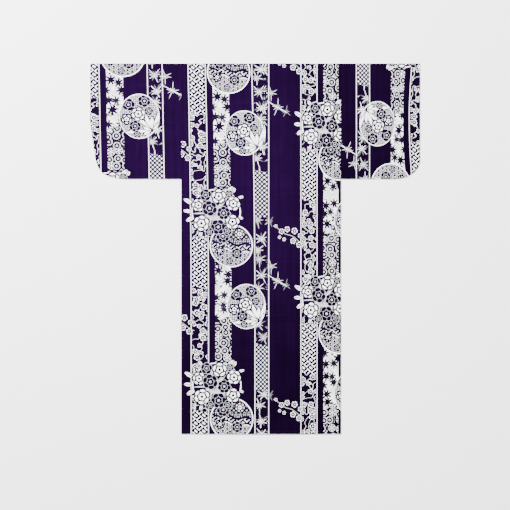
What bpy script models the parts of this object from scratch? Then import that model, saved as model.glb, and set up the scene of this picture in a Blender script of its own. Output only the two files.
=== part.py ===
"""A cotton yukata laid flat with its back upward, as seven cloth pieces that lie on each other.

X runs to the right of the back view, +Y from the hem to the shoulder fold, and +Z up from the floor.
Each piece is drawn as a plan on a net of triangles, and its layers get their heights from the cloth
that lies beneath them. Everything is in metres.
"""
import math

import bmesh
import bpy

# Cloth
CLOTH = 0.001
COLLAR_CLOTH = 0.002
SEAM_GAP = 0.0003

# Main sizes of the laid garment
LENGTH = 1.593
LEFT_BACK_WIDTH = 0.356
RIGHT_BACK_WIDTH = 0.330
LEFT_SLEEVE_WIDTH = 0.392
RIGHT_SLEEVE_WIDTH = 0.340
SLEEVE_DEPTH = 0.496
CUFF_OPENING = 0.250
ARMHOLE_DEPTH = 0.360

# Front pieces and collar
FRONT_NARROWER = 0.056
OKUMI_HEM_WIDTH = 0.150
OKUMI_COLLAR_WIDTH = 0.135
OKUMI_TIP_DROP = 0.230
COLLAR_END_HEIGHT = 0.800
COLLAR_WIDTH = 0.055
NECK_HALF_WIDTH = 0.085

# Places that follow from the sizes, with the origin under the middle of the whole outline
SHOULDER = LENGTH / 2
HEM = -LENGTH / 2
TOTAL_WIDTH = LEFT_SLEEVE_WIDTH + LEFT_BACK_WIDTH + RIGHT_BACK_WIDTH + RIGHT_SLEEVE_WIDTH
LEFT_CUFF = -TOTAL_WIDTH / 2
RIGHT_CUFF = TOTAL_WIDTH / 2
LEFT_SIDE = LEFT_CUFF + LEFT_SLEEVE_WIDTH
RIGHT_SIDE = RIGHT_CUFF - RIGHT_SLEEVE_WIDTH
BACK_SEAM = LEFT_SIDE + LEFT_BACK_WIDTH
SLEEVE_FOOT = SHOULDER - SLEEVE_DEPTH
ARMHOLE_FOOT = SHOULDER - ARMHOLE_DEPTH
LEFT_FRONT_SEAM = BACK_SEAM - FRONT_NARROWER
RIGHT_FRONT_SEAM = BACK_SEAM + FRONT_NARROWER
OKUMI_TIP = SHOULDER - OKUMI_TIP_DROP
COLLAR_END = HEM + COLLAR_END_HEIGHT
NECK_BAND_FOOT = SHOULDER - COLLAR_WIDTH

# Net of triangles: the step between its lines, and how cloth eases down beside a layer under it
BODY_STEP = 0.036
SLEEVE_STEP = 0.026
LONG_STEP = 0.050
EASE_LENGTH = 0.040
PRESSED_EDGE = 0.045
RIM = CLOTH

# A direction this small means that an edge runs square to the net
SQUARE_TO = 0.001

# Left sleeve edge below the cuff opening: drop from the shoulder, and inset from the cuff line
LEFT_SLEEVE_EDGE = (
    (0.250, 0.0000),
    (0.350, 0.0130),
    (0.415, 0.0235),
    (0.432, 0.0285),
    (0.454, 0.0390),
    (0.471, 0.0530),
    (0.485, 0.0820),
    (0.493, 0.1140),
    (0.496, 0.1500),
)

# Right sleeve corner, a quarter of an ellipse
RIGHT_CORNER_DROP = 0.081
RIGHT_CORNER_INSET = 0.108
RIGHT_CORNER_STEPS = 7

# Largest folds of the upper cloth: middle x and y, half length, half width, turn in degrees, rise
FOLDS = (
    (0.640, 0.560, 0.210, 0.034, 96.0, 0.0055),
    (0.545, 0.505, 0.190, 0.036, 86.0, 0.0045),
    (0.455, 0.560, 0.200, 0.034, 92.0, 0.0050),
    (-0.610, 0.520, 0.180, 0.045, 88.0, 0.0030),
    (-0.430, 0.600, 0.170, 0.050, 94.0, 0.0035),
    (-0.150, 0.270, 0.260, 0.060, 84.0, 0.0030),
    (0.190, 0.150, 0.300, 0.060, 95.0, 0.0030),
    (-0.120, -0.420, 0.260, 0.055, 91.0, 0.0025),
    (0.170, -0.480, 0.240, 0.055, 88.0, 0.0030),
    (0.010, -0.298, 0.300, 0.030, 0.0, 0.0022),
    (-0.160, -0.036, 0.170, 0.028, 1.0, 0.0020),
)


def clear_scene():
    for thing in list(bpy.data.objects):
        bpy.data.objects.remove(thing, do_unlink=True)


def smooth(value):
    value = min(max(value, 0.0), 1.0)
    return value * value * (3 - 2 * value)


# Plans of the pieces, each a convex outline drawn anticlockwise


def collar_line(side, y):
    """The line where the collar meets the front: side is -1 on the left and 1 on the right."""
    neck = BACK_SEAM + side * NECK_HALF_WIDTH
    tip = BACK_SEAM + side * FRONT_NARROWER
    end = tip - side * OKUMI_COLLAR_WIDTH
    if y >= OKUMI_TIP:
        return tip + (neck - tip) * (y - OKUMI_TIP) / (SHOULDER - OKUMI_TIP)
    return end + (tip - end) * (y - COLLAR_END) / (OKUMI_TIP - COLLAR_END)


def anticlockwise(points):
    area = sum(a[0] * b[1] - b[0] * a[1] for a, b in zip(points, points[1:] + points[:1]))
    return points if area > 0 else points[::-1]


def front_plan(side):
    """The front half of a body panel, up to its seam with the okumi and the collar."""
    edge = LEFT_SIDE if side < 0 else RIGHT_SIDE
    seam = BACK_SEAM + side * (FRONT_NARROWER + SEAM_GAP / 2)
    neck = collar_line(side, SHOULDER) + side * SEAM_GAP / 2
    return anticlockwise([(edge, HEM), (seam, HEM), (seam, OKUMI_TIP), (neck, SHOULDER), (edge, SHOULDER)])


def okumi_plan(side):
    """The tapered overlap panel, which ends in a point under the collar."""
    seam = BACK_SEAM + side * (FRONT_NARROWER - SEAM_GAP / 2)
    hem_edge = seam - side * OKUMI_HEM_WIDTH
    collar_edge = collar_line(side, COLLAR_END)
    return anticlockwise([(seam, HEM), (hem_edge, HEM), (collar_edge, COLLAR_END), (seam, OKUMI_TIP)])


def collar_plan(side, low, high):
    """One straight stretch of a collar run."""
    inner = SEAM_GAP + COLLAR_WIDTH
    corners = [(collar_line(side, y) - side * SEAM_GAP, y) for y in (low, high)]
    corners += [(collar_line(side, y) - side * inner, y) for y in (high, low)]
    return anticlockwise(corners)


def neck_plan():
    """The stretch of collar behind the neck, from one run to the other."""
    rows = (NECK_BAND_FOOT, SHOULDER)
    left = [(collar_line(-1, y) + SEAM_GAP, y) for y in rows]
    right = [(collar_line(1, y) - SEAM_GAP, y) for y in rows[::-1]]
    return anticlockwise(left + right)


def left_sleeve_plan():
    corners = [(LEFT_SIDE - SEAM_GAP, SHOULDER), (LEFT_CUFF, SHOULDER)]
    corners += [(LEFT_CUFF + inset, SHOULDER - drop) for drop, inset in LEFT_SLEEVE_EDGE]
    return anticlockwise(corners + [(LEFT_SIDE - SEAM_GAP, SLEEVE_FOOT)])


def right_sleeve_plan():
    corners = [(RIGHT_SIDE + SEAM_GAP, SHOULDER), (RIGHT_CUFF, SHOULDER)]
    corners.append((RIGHT_CUFF, SHOULDER - CUFF_OPENING))
    for step in range(RIGHT_CORNER_STEPS + 1):
        turn = math.pi / 2 * step / RIGHT_CORNER_STEPS
        x = RIGHT_CUFF - RIGHT_CORNER_INSET * (1 - math.cos(turn))
        y = SLEEVE_FOOT + RIGHT_CORNER_DROP * (1 - math.sin(turn))
        corners.append((x, y))
    return anticlockwise(corners + [(RIGHT_SIDE + SEAM_GAP, SLEEVE_FOOT)])


def half_planes(plan):
    """A point and an outward direction for each edge of an anticlockwise plan."""
    edges = []
    for (ax, ay), (bx, by) in zip(plan, plan[1:] + plan[:1]):
        span = math.hypot(bx - ax, by - ay)
        edges.append((ax, ay, (by - ay) / span, (ax - bx) / span))
    return edges


def outside(planes, x, y):
    """How far a point lies outside a plan: negative inside it."""
    return max((x - px) * nx + (y - py) * ny for px, py, nx, ny in planes)


# Heights of the layers

LEFT_PIECES = (
    (half_planes(front_plan(-1)), CLOTH),
    (half_planes(okumi_plan(-1)), CLOTH),
    (half_planes(collar_plan(-1, OKUMI_TIP, NECK_BAND_FOOT)), COLLAR_CLOTH),
    (half_planes(collar_plan(-1, COLLAR_END, OKUMI_TIP)), COLLAR_CLOTH),
)
RIGHT_PIECES = (
    (half_planes(front_plan(1)), CLOTH),
    (half_planes(okumi_plan(1)), CLOTH),
    (half_planes(collar_plan(1, OKUMI_TIP, NECK_BAND_FOOT)), COLLAR_CLOTH),
    (half_planes(collar_plan(1, COLLAR_END, OKUMI_TIP)), COLLAR_CLOTH),
)
NECK_PIECE = (half_planes(neck_plan()), COLLAR_CLOTH)


def cover(planes, x, y):
    """1 over a piece and one step of the net around it, easing down to 0 beyond."""
    return 1 - smooth((outside(planes, x, y) - LONG_STEP) / EASE_LENGTH)


def floor_height(x, y):
    return 0.0


def right_front_height(x, y):
    """The underside of the right front pieces, which lie over the left ones from the chest down."""
    crossing = smooth((NECK_BAND_FOOT - y) / (NECK_BAND_FOOT - OKUMI_TIP - LONG_STEP))
    return crossing * max(cover(planes, x, y) * (wall + SEAM_GAP) for planes, wall in LEFT_PIECES)


def edge_distance(x, y):
    """How far a point lies inside the laid outline."""
    if LEFT_SIDE < x < RIGHT_SIDE:
        distance = min(SHOULDER - y, y - HEM)
        if y < SLEEVE_FOOT:
            distance = min(distance, x - LEFT_SIDE, RIGHT_SIDE - x)
        return distance
    return min(SHOULDER - y, y - SLEEVE_FOOT, x - LEFT_CUFF, RIGHT_CUFF - x)


def fold_rise(x, y):
    """Rise of the upper cloth in its largest folds, none at the pressed edges."""
    rise = 0.0
    for middle_x, middle_y, half_length, half_width, turn, height in FOLDS:
        cosine = math.cos(math.radians(turn))
        sine = math.sin(math.radians(turn))
        along = (x - middle_x) * cosine + (y - middle_y) * sine
        across = (y - middle_y) * cosine - (x - middle_x) * sine
        reach = math.hypot(along / half_length, across / half_width)
        rise += height * (1 - smooth(reach))
    return rise * smooth(edge_distance(x, y) / PRESSED_EDGE)


def upper_height(x, y):
    """The underside of the back and of the sleeves' upper cloth."""
    lower = right_front_height(x, y)
    tops = [cover(planes, x, y) * (wall + SEAM_GAP) for planes, wall in LEFT_PIECES + (NECK_PIECE,)]
    tops += [cover(planes, x, y) * (lower + wall + SEAM_GAP) for planes, wall in RIGHT_PIECES]
    return max(tops) + fold_rise(x, y)


def sleeve_height(x, y):
    return CLOTH + SEAM_GAP + fold_rise(x, y)


# Nets


def lines(stops, step):
    """Lines through every stop, with even ones between them no further apart than the step."""
    places = [stops[0]]
    for low, high in zip(stops, stops[1:]):
        count = math.ceil((high - low) / step)
        places += [low + (high - low) * k / count for k in range(1, count + 1)]
    return places


BODY_X = lines((LEFT_SIDE, LEFT_FRONT_SEAM, BACK_SEAM, RIGHT_FRONT_SEAM, RIGHT_SIDE), BODY_STEP)
BODY_Y = lines((HEM, COLLAR_END, ARMHOLE_FOOT, OKUMI_TIP, NECK_BAND_FOOT, SHOULDER), LONG_STEP)


def own_lines(shared, *edges):
    """The shared lines that lie between a piece's edges, clear of them, and the edges."""
    clear = CLOTH * 4
    kept = [place for place in shared if all(abs(place - edge) > clear for edge in edges)]
    return sorted([place for place in kept if min(edges) < place < max(edges)] + list(edges))


def plan_net(xs, ys, low_height, high_height):
    """A net of triangles that carries the undersides of its lower and upper layer."""
    net = bmesh.new()
    low = net.verts.layers.float.new("low")
    high = net.verts.layers.float.new("high")
    rows = []
    for y in ys:
        row = []
        for x in xs:
            point = net.verts.new((x, y, 0.0))
            point[low] = low_height(x, y)
            point[high] = high_height(x, y)
            row.append(point)
        rows.append(row)
    for near, far in zip(rows, rows[1:]):
        for a, b, c, d in zip(near, near[1:], far[1:], far):
            net.faces.new((a, b, c))
            net.faces.new((a, c, d))
    return net


def cut(net, planes, trim, inset=0.0):
    """Cuts a net along half planes, and trims away what lies outside them if asked."""
    for x, y, across_x, across_y in planes:
        place = (x - across_x * inset, y - across_y * inset, 0.0)
        bmesh.ops.bisect_plane(
            net,
            geom=net.verts[:] + net.edges[:] + net.faces[:],
            dist=CLOTH / 100,
            plane_co=place,
            plane_no=(across_x, across_y, 0.0),
            clear_outer=trim,
        )


def layered_solid(name, net, layers, wall, colour):
    """One closed body from a net: layers tells for each triangle whether the lower layer, the space
    between the layers and the upper layer are cloth."""
    low = net.verts.layers.float["low"]
    high = net.verts.layers.float["high"]
    solid = bmesh.new()
    points = {}

    def point(vert, level):
        if (vert, level) not in points:
            base = vert[high] if level > 1 else vert[low]
            height = base + (wall if level % 2 else 0.0)
            points[vert, level] = solid.verts.new((vert.co.x, vert.co.y, height))
        return points[vert, level]

    filled = {face: (False,) + layers(face.calc_center_median()) + (False,) for face in net.faces}
    for face, cloth in filled.items():
        for level in range(4):
            if cloth[level] == cloth[level + 1]:
                continue
            corners = [point(vert, level) for vert in face.verts]
            solid.faces.new(corners[::-1] if cloth[level + 1] else corners)
    for edge in net.edges:
        for loop in edge.link_loops:
            beside = [filled[other] for other in edge.link_faces if other is not loop.face]
            beside = beside[0] if beside else (False,) * 5
            start = loop.vert
            end = loop.link_loop_next.vert
            for level in range(3):
                if filled[loop.face][level + 1] and not beside[level + 1]:
                    foot = (point(start, level), point(end, level))
                    solid.faces.new(foot + (point(end, level + 1), point(start, level + 1)))
    net.free()
    mesh = bpy.data.meshes.new(name)
    solid.to_mesh(mesh)
    solid.free()
    piece = bpy.data.objects.new(name, mesh)
    bpy.context.scene.collection.objects.link(piece)
    piece.data.materials.append(cotton(name, colour))
    return piece


def cotton(name, colour):
    material = bpy.data.materials.new(name + " cotton")
    material.use_nodes = True
    shader = material.node_tree.nodes["Principled BSDF"]
    shader.inputs["Base Color"].default_value = colour
    shader.inputs["Roughness"].default_value = 0.9
    shader.inputs["Metallic"].default_value = 0.0
    return material


# Pieces

NAVY = (0.020, 0.008, 0.060, 1.0)
DARK_NAVY = (0.014, 0.006, 0.045, 1.0)
PALE_PRINT = (0.550, 0.530, 0.640, 1.0)


def body_panel(name, side, low_height, colour):
    """One length of cloth from the back hem over the shoulder fold to the front hem."""
    edge = LEFT_SIDE if side < 0 else RIGHT_SIDE
    seam = BACK_SEAM + side * SEAM_GAP / 2
    front_seam = BACK_SEAM + side * (FRONT_NARROWER + SEAM_GAP / 2)
    xs = own_lines(BODY_X, edge, edge - side * RIM, front_seam, seam)
    ys = own_lines(BODY_Y, HEM, ARMHOLE_FOOT, OKUMI_TIP, SHOULDER - RIM, SHOULDER)
    net = plan_net(xs, ys, low_height, upper_height)
    front = half_planes(front_plan(side))
    slanted = [plane for plane in front if min(abs(plane[2]), abs(plane[3])) > SQUARE_TO]
    cut(net, slanted, trim=False)

    def layers(middle):
        in_front = outside(front, middle.x, middle.y) < 0
        at_shoulder = middle.y > SHOULDER - RIM
        at_side_seam = abs(middle.x - edge) < RIM and middle.y < ARMHOLE_FOOT
        return (in_front, in_front and (at_shoulder or at_side_seam), True)

    return layered_solid(name, net, layers, CLOTH, colour)


def okumi(name, side, low_height, colour):
    """The overlap panel, a single layer."""
    plan = okumi_plan(side)
    seam = BACK_SEAM + side * (FRONT_NARROWER - SEAM_GAP / 2)
    xs = own_lines(BODY_X, seam - side * OKUMI_HEM_WIDTH, seam)
    ys = own_lines(BODY_Y, HEM, OKUMI_TIP)
    net = plan_net(xs, ys, low_height, low_height)
    slanted = [plane for plane in half_planes(plan) if min(abs(plane[2]), abs(plane[3])) > SQUARE_TO]
    cut(net, slanted, trim=True)
    return layered_solid(name, net, lambda middle: (True, False, False), CLOTH, colour)


def sleeve(name, side, plan, opening_foot, colour):
    """A flat tube of cloth, open at the armhole and at the cuff above its sewn corner."""
    xs = lines((min(x for x, y in plan), max(x for x, y in plan)), SLEEVE_STEP)
    rows = lines((SLEEVE_FOOT, opening_foot, SHOULDER), LONG_STEP)
    ys = own_lines(rows, SLEEVE_FOOT, SLEEVE_FOOT + RIM, opening_foot, SHOULDER - RIM, SHOULDER)
    net = plan_net(xs, ys, floor_height, sleeve_height)
    sewn = [plane for plane in half_planes(plan) if plane[2] * side > SQUARE_TO and plane[1] < SHOULDER]
    cut(net, sewn, trim=True)
    cut(net, sewn, trim=False, inset=RIM)

    def layers(middle):
        at_ends = middle.y > SHOULDER - RIM or middle.y < SLEEVE_FOOT + RIM
        at_cuff_seam = middle.y < opening_foot and outside(sewn, middle.x, middle.y) > -RIM
        return (True, at_ends or at_cuff_seam, True)

    return layered_solid(name, net, layers, CLOTH, colour)


def collar():
    """One long band: the left run on the floor, the neck stretch, and the right run over the left."""
    net = bmesh.new()
    low = net.verts.layers.float.new("low")
    net.verts.layers.float.new("high")
    runs = collar_plan(-1, OKUMI_TIP, NECK_BAND_FOOT) + collar_plan(1, OKUMI_TIP, NECK_BAND_FOOT)
    run_corners = [x for x, y in runs if y > OKUMI_TIP]
    xs = sorted(BODY_X + run_corners)
    stretches = [(neck_plan(), floor_height)]
    for side, height in ((-1, floor_height), (1, right_front_height)):
        stretches.append((collar_plan(side, OKUMI_TIP, NECK_BAND_FOOT), height))
        stretches.append((collar_plan(side, COLLAR_END, OKUMI_TIP), height))
    for plan, height in stretches:
        rows = [y for x, y in plan]
        ys = own_lines(BODY_Y, min(rows), max(rows))
        part = plan_net(xs, ys, height, height)
        cut(part, [plane for plane in half_planes(plan) if abs(plane[2]) > SQUARE_TO], trim=True)
        part_low = part.verts.layers.float["low"]
        copies = {}
        for vert in part.verts:
            copies[vert] = net.verts.new(vert.co)
            copies[vert][low] = vert[part_low]
            copies[vert].co.z = vert[part_low]
        for face in part.faces:
            net.faces.new([copies[vert] for vert in face.verts])
        part.free()
    bmesh.ops.remove_doubles(net, verts=net.verts[:], dist=CLOTH / 100)
    return layered_solid("collar", net, lambda middle: (True, False, False), COLLAR_CLOTH, PALE_PRINT)


def build():
    clear_scene()
    body_panel("body_left", -1, floor_height, NAVY)
    body_panel("body_right", 1, right_front_height, DARK_NAVY)
    okumi("okumi_left", -1, floor_height, PALE_PRINT)
    okumi("okumi_right", 1, right_front_height, DARK_NAVY)
    sleeve("sleeve_left", -1, left_sleeve_plan(), SHOULDER - CUFF_OPENING, DARK_NAVY)
    sleeve("sleeve_right", 1, right_sleeve_plan(), SHOULDER - CUFF_OPENING, NAVY)
    collar()


build()
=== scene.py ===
"""Looks of a cotton yukata laid flat with its back upward: cloth shells, creases, stitches and print.

X runs to the right of the back view, +Y from the hem to the shoulder fold and +Z up, in metres.
"""
import inspect
import math
from functools import partialmethod

import bmesh
import bpy
import numpy as np
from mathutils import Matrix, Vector
from mathutils.bvhtree import BVHTree
from mathutils.geometry import convex_hull_2d


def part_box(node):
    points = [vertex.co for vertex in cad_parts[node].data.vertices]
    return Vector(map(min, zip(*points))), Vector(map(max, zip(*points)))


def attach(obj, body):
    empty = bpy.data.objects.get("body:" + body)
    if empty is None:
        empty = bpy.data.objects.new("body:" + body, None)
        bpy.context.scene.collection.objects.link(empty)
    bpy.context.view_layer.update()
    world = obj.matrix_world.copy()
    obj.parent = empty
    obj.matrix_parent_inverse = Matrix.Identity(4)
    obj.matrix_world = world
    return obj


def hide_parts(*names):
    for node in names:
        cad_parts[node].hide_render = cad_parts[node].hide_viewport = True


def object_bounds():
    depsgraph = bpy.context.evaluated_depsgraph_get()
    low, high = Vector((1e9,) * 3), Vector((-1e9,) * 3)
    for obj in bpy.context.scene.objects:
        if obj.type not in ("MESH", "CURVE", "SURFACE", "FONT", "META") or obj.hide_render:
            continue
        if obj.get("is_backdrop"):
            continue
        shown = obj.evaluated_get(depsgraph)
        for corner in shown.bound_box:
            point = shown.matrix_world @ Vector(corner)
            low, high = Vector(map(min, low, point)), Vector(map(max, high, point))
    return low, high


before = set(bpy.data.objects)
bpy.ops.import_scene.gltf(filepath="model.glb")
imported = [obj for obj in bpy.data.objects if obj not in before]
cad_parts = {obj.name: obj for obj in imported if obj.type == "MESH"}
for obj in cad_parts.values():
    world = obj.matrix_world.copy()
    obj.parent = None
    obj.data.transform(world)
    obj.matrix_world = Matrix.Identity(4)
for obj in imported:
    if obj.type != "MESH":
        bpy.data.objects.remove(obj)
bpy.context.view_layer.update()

bl_info = {
    "name": "Yukata laid flat",
    "version": (1, 0, 0),
    "blender": (4, 5, 0),
    "location": "3D View > Sidebar > Yukata",
    "description": "Builds the cloth, stitches and print of a cotton yukata laid flat",
    "category": "Add Mesh",
}

# Places read from the frame
BACK_LEFT_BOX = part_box("body_left")
BACK_RIGHT_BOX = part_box("body_right")
OKUMI_LEFT_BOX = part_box("okumi_left")
OKUMI_RIGHT_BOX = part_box("okumi_right")
SLEEVE_LEFT_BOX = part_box("sleeve_left")
SLEEVE_RIGHT_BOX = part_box("sleeve_right")
SHOULDER = BACK_LEFT_BOX[1].y
HEM = BACK_LEFT_BOX[0].y
LEFT_SIDE = BACK_LEFT_BOX[0].x
RIGHT_SIDE = BACK_RIGHT_BOX[1].x
BACK_SEAM = (BACK_LEFT_BOX[1].x + BACK_RIGHT_BOX[0].x) / 2
OKUMI_TIP = OKUMI_LEFT_BOX[1].y
SLEEVE_FOOT = SLEEVE_LEFT_BOX[0].y
LEFT_CUFF = SLEEVE_LEFT_BOX[0].x
RIGHT_CUFF = SLEEVE_RIGHT_BOX[1].x

# Cloth
CLOTH = 0.001
LAYER_GAP = 0.0003
NECK_HALF_WIDTH = 0.085
CUFF_OPENING = 0.250
ARMHOLE_DEPTH = 0.360
RIM = CLOTH
SEAM_DRAW = 0.0002
COLLAR_WIDTH = 0.055
ALLOWANCE = 0.014
ALLOWANCE_RISE = 0.0006

# Widths over which an allowance's raw edge and the back seam rise
RAW_EDGE = 0.003
SEAM_EDGE = 0.002

# Valleys along the back seam and the armhole seams: half width and depth
BACK_VALLEY = (0.0022, 0.0006)
ARMHOLE_VALLEY = (0.003, 0.0004)

# Deepest that the fine relief may press the upper cloth
DEEPEST_DENT = 0.0002

# Nets: closest lines, the slant from which an edge is cut, how far inside the box the rays for heights
# stay, and rounds of easing between facets
FINE_STEP = 0.002
SQUARE_TO = 0.001
RAY_MARGIN = 0.0002
EASING_ROUNDS = 4

# Angle between faces from which an edge stays sharp
SHARP_ANGLE = math.radians(50)

# Share of its box that an overlap panel fills, how much coarser its net is, and how much cloth the
# collar's folded edges add
OKUMI_FILL = 0.74
OKUMI_COARSER = 1.5
COLLAR_LAP = 1.2

# Length from which an edge of the collar's net is halved
LONG_EDGE = 0.02

# Pixel size of the photo on the cloth
PIXEL = 0.0043

# How far a pressed crease wanders and fades at its ends, its reach above and below its line, and the
# y of the crease on the sleeves
CREASE_WANDER = 0.0015
CREASE_END = 0.03
CREASE_ABOVE = 3.2
CREASE_BELOW = 0.7
SLEEVE_CREASE = 0.532

# Creases pressed in while folded away, steeper towards the hem: y, lowest x, highest x, half width, rise
FOLD_LINES = (
    (-0.294, -0.318, 0.366, 0.0050, 0.0028),
    (-0.308, 0.060, 0.366, 0.0045, 0.0018),
    (-0.036, -0.318, 0.036, 0.0050, 0.0026),
    (-0.042, 0.060, 0.366, 0.0070, 0.0014),
    (SLEEVE_CREASE, -0.700, -0.330, 0.0050, 0.0023),
    (SLEEVE_CREASE, 0.380, 0.700, 0.0060, 0.0022),
    (0.262, -0.318, 0.366, 0.0070, 0.0015),
    (-0.560, -0.318, 0.366, 0.0065, 0.0016),
)

# Soft wrinkles: middle x and y, half length, half width, turn in degrees, rise
WRINKLES = (
    (-0.565, 0.690, 0.070, 0.013, 62.0, 0.0027),
    (-0.650, 0.610, 0.060, 0.012, 104.0, 0.0026),
    (-0.500, 0.420, 0.090, 0.012, 76.0, 0.0027),
    (-0.390, 0.370, 0.060, 0.010, 118.0, 0.0024),
    (-0.350, 0.640, 0.080, 0.011, 84.0, 0.0024),
    (-0.250, 0.660, 0.120, 0.015, 71.0, 0.0027),
    (-0.130, 0.560, 0.100, 0.012, 97.0, 0.0024),
    (-0.260, 0.250, 0.110, 0.012, 88.0, 0.0027),
    (-0.060, 0.120, 0.140, 0.014, 81.0, 0.0026),
    (-0.200, -0.160, 0.090, 0.012, 99.0, 0.0024),
    (-0.070, -0.250, 0.110, 0.011, 74.0, 0.0020),
    (-0.250, -0.450, 0.120, 0.012, 92.0, 0.0027),
    (-0.100, -0.640, 0.100, 0.013, 84.0, 0.0024),
    (0.130, 0.690, 0.090, 0.012, 112.0, 0.0024),
    (0.290, 0.560, 0.130, 0.013, 96.0, 0.0027),
    (0.110, 0.390, 0.120, 0.012, 86.0, 0.0024),
    (0.250, 0.190, 0.150, 0.014, 98.0, 0.0027),
    (0.140, -0.060, 0.100, 0.011, 79.0, 0.0024),
    (0.300, -0.210, 0.120, 0.012, 91.0, 0.0026),
    (0.120, -0.400, 0.130, 0.013, 95.0, 0.0024),
    (0.280, -0.620, 0.110, 0.012, 83.0, 0.0026),
    (0.420, 0.650, 0.090, 0.012, 82.0, 0.0037),
    (0.500, 0.600, 0.110, 0.013, 94.0, 0.0041),
    (0.570, 0.480, 0.120, 0.012, 87.0, 0.0041),
    (0.610, 0.640, 0.090, 0.011, 99.0, 0.0037),
    (0.665, 0.500, 0.130, 0.012, 92.0, 0.0046),
    (0.440, 0.420, 0.080, 0.011, 103.0, 0.0032),
)


def cosine_and_sine(degrees):
    return math.cos(math.radians(degrees)), math.sin(math.radians(degrees))


def smooth(value):
    value = np.clip(value, 0.0, 1.0)
    return value * value * (3 - 2 * value)


def bump_row(x, y, middle_x, middle_y, half_length, half_width, turn, rise):
    cosine, sine = cosine_and_sine(turn)
    along = (x - middle_x) * cosine + (y - middle_y) * sine
    across = (y - middle_y) * cosine - (x - middle_x) * sine
    reach = np.hypot(along / half_length, across / half_width)
    return rise * (1 - smooth(reach))


def turned_in(beyond):
    """1 over an allowance, from the distance beyond the edge where the cloth is turned in."""
    return smooth((beyond + ALLOWANCE) / RAW_EDGE)


def valley(x, place, half_width, depth):
    return depth * np.exp(-(((x - place) / half_width) ** 2))


def relief(x, y):
    """Fine rise of the upper cloth: pressed folds, wrinkles, and the seam allowances beneath it."""
    rise = np.zeros_like(x)
    for place, low, high, half_width, height in FOLD_LINES:
        uneven = 0.65 + 0.35 * np.sin(x * 17.0 + place * 40.0)
        ends = smooth((x - low) / CREASE_END) * smooth((high - x) / CREASE_END)
        wander = place + CREASE_WANDER * np.sin(x * 11.0)
        reach = half_width * np.where(y > wander, CREASE_ABOVE, CREASE_BELOW)
        rise += height * uneven * ends * np.exp(-(((y - wander) / reach) ** 2))
    for row in WRINKLES:
        rise += bump_row(x, y, *row)
    on_body = (x > LEFT_SIDE) & (x < RIGHT_SIDE)
    back_seam = smooth((x - BACK_SEAM) / SEAM_EDGE) * turned_in(BACK_SEAM - x)
    left_side = turned_in(LEFT_SIDE - x) * (x > LEFT_SIDE)
    right_side = turned_in(x - RIGHT_SIDE) * (x < RIGHT_SIDE)
    side_seams = (left_side + right_side) * (y < SLEEVE_FOOT + ALLOWANCE)
    hem = turned_in(HEM - y)
    sleeve_hem = turned_in(SLEEVE_FOOT - y) * ~on_body
    cuff = turned_in(LEFT_CUFF - x) + turned_in(x - RIGHT_CUFF)
    rise += ALLOWANCE_RISE * on_body * np.maximum(np.maximum(back_seam, hem), side_seams)
    rise += ALLOWANCE_RISE * np.maximum(sleeve_hem, cuff * ~on_body)
    rise -= valley(x, BACK_SEAM, *BACK_VALLEY)
    for edge in (LEFT_SIDE, RIGHT_SIDE):
        rise -= valley(x, edge, *ARMHOLE_VALLEY) * (y > SLEEVE_FOOT)
    return rise


# Nets of triangles and the closed shells made from them


def half_planes(plan):
    """A point and an outward direction for each edge of a convex plan, drawn anticlockwise."""
    area = sum(a[0] * b[1] - b[0] * a[1] for a, b in zip(plan, plan[1:] + plan[:1]))
    plan = plan if area > 0 else plan[::-1]
    edges = []
    for (ax, ay), (bx, by) in zip(plan, plan[1:] + plan[:1]):
        span = math.hypot(bx - ax, by - ay)
        edges.append((ax, ay, (by - ay) / span, (ax - bx) / span))
    return edges


def outside(planes, x, y):
    return max((x - px) * nx + (y - py) * ny for px, py, nx, ny in planes)


def hull_planes(node):
    """Half planes round a flat convex node, seen from above."""
    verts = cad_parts[node].data.vertices
    points = sorted({(round(vert.co.x, 5), round(vert.co.y, 5)) for vert in verts})
    return half_planes([points[index] for index in convex_hull_2d(points)])


def slanted(planes):
    """Those planes that don't run along the net's own lines."""
    return [plane for plane in planes if min(abs(plane[2]), abs(plane[3])) > SQUARE_TO]


def lines(low, high, step, stops=(), fine=()):
    """Lines from low to high through the stops, with closer ones round each fine place."""
    marks = sorted({low, high, *(stop for stop in stops if low < stop < high)})
    for place in fine:
        for count in range(-2, 3):
            near = place + count * FINE_STEP
            if low + FINE_STEP < near < high - FINE_STEP:
                marks.append(near)
    marks.sort()
    places = [marks[0]]
    for start, end in zip(marks, marks[1:]):
        count = max(1, round((end - start) / step))
        places += [start + (end - start) * k / count for k in range(1, count + 1)]
    return np.array(places)


def sampled(node, xs, ys, above, fallback):
    """Heights of a node's upper or lower side over a net, from rays, eased between its facets."""
    tree = BVHTree.FromObject(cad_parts[node], bpy.context.evaluated_depsgraph_get())
    low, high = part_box(node)
    start = high.z + 1 if above else low.z - 1
    towards = Vector((0, 0, -1 if above else 1))
    heights = np.full((len(ys), len(xs)), fallback)
    for row, y in enumerate(np.clip(ys, low.y + RAY_MARGIN, high.y - RAY_MARGIN)):
        for column, x in enumerate(np.clip(xs, low.x + RAY_MARGIN, high.x - RAY_MARGIN)):
            hit = tree.ray_cast(Vector((x, y, start)), towards)[0]
            if hit:
                heights[row, column] = hit.z
    for turn in range(EASING_ROUNDS):
        padded = np.pad(heights, 1, mode="edge")
        beside = padded[:-2, 1:-1] + padded[2:, 1:-1] + padded[1:-1, :-2] + padded[1:-1, 2:]
        heights = (beside + 4 * heights) / 8
    return heights


def upper_heights(settings, node, xs, ys):
    """Heights of the underside of a node's upper cloth over a net, with the fine relief."""
    flat = sampled(node, xs, ys, True, CLOTH * 2 + LAYER_GAP) - CLOTH
    rise = relief(*np.meshgrid(xs, ys)) * settings.relief
    return np.maximum(flat + rise, flat - DEEPEST_DENT)


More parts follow.
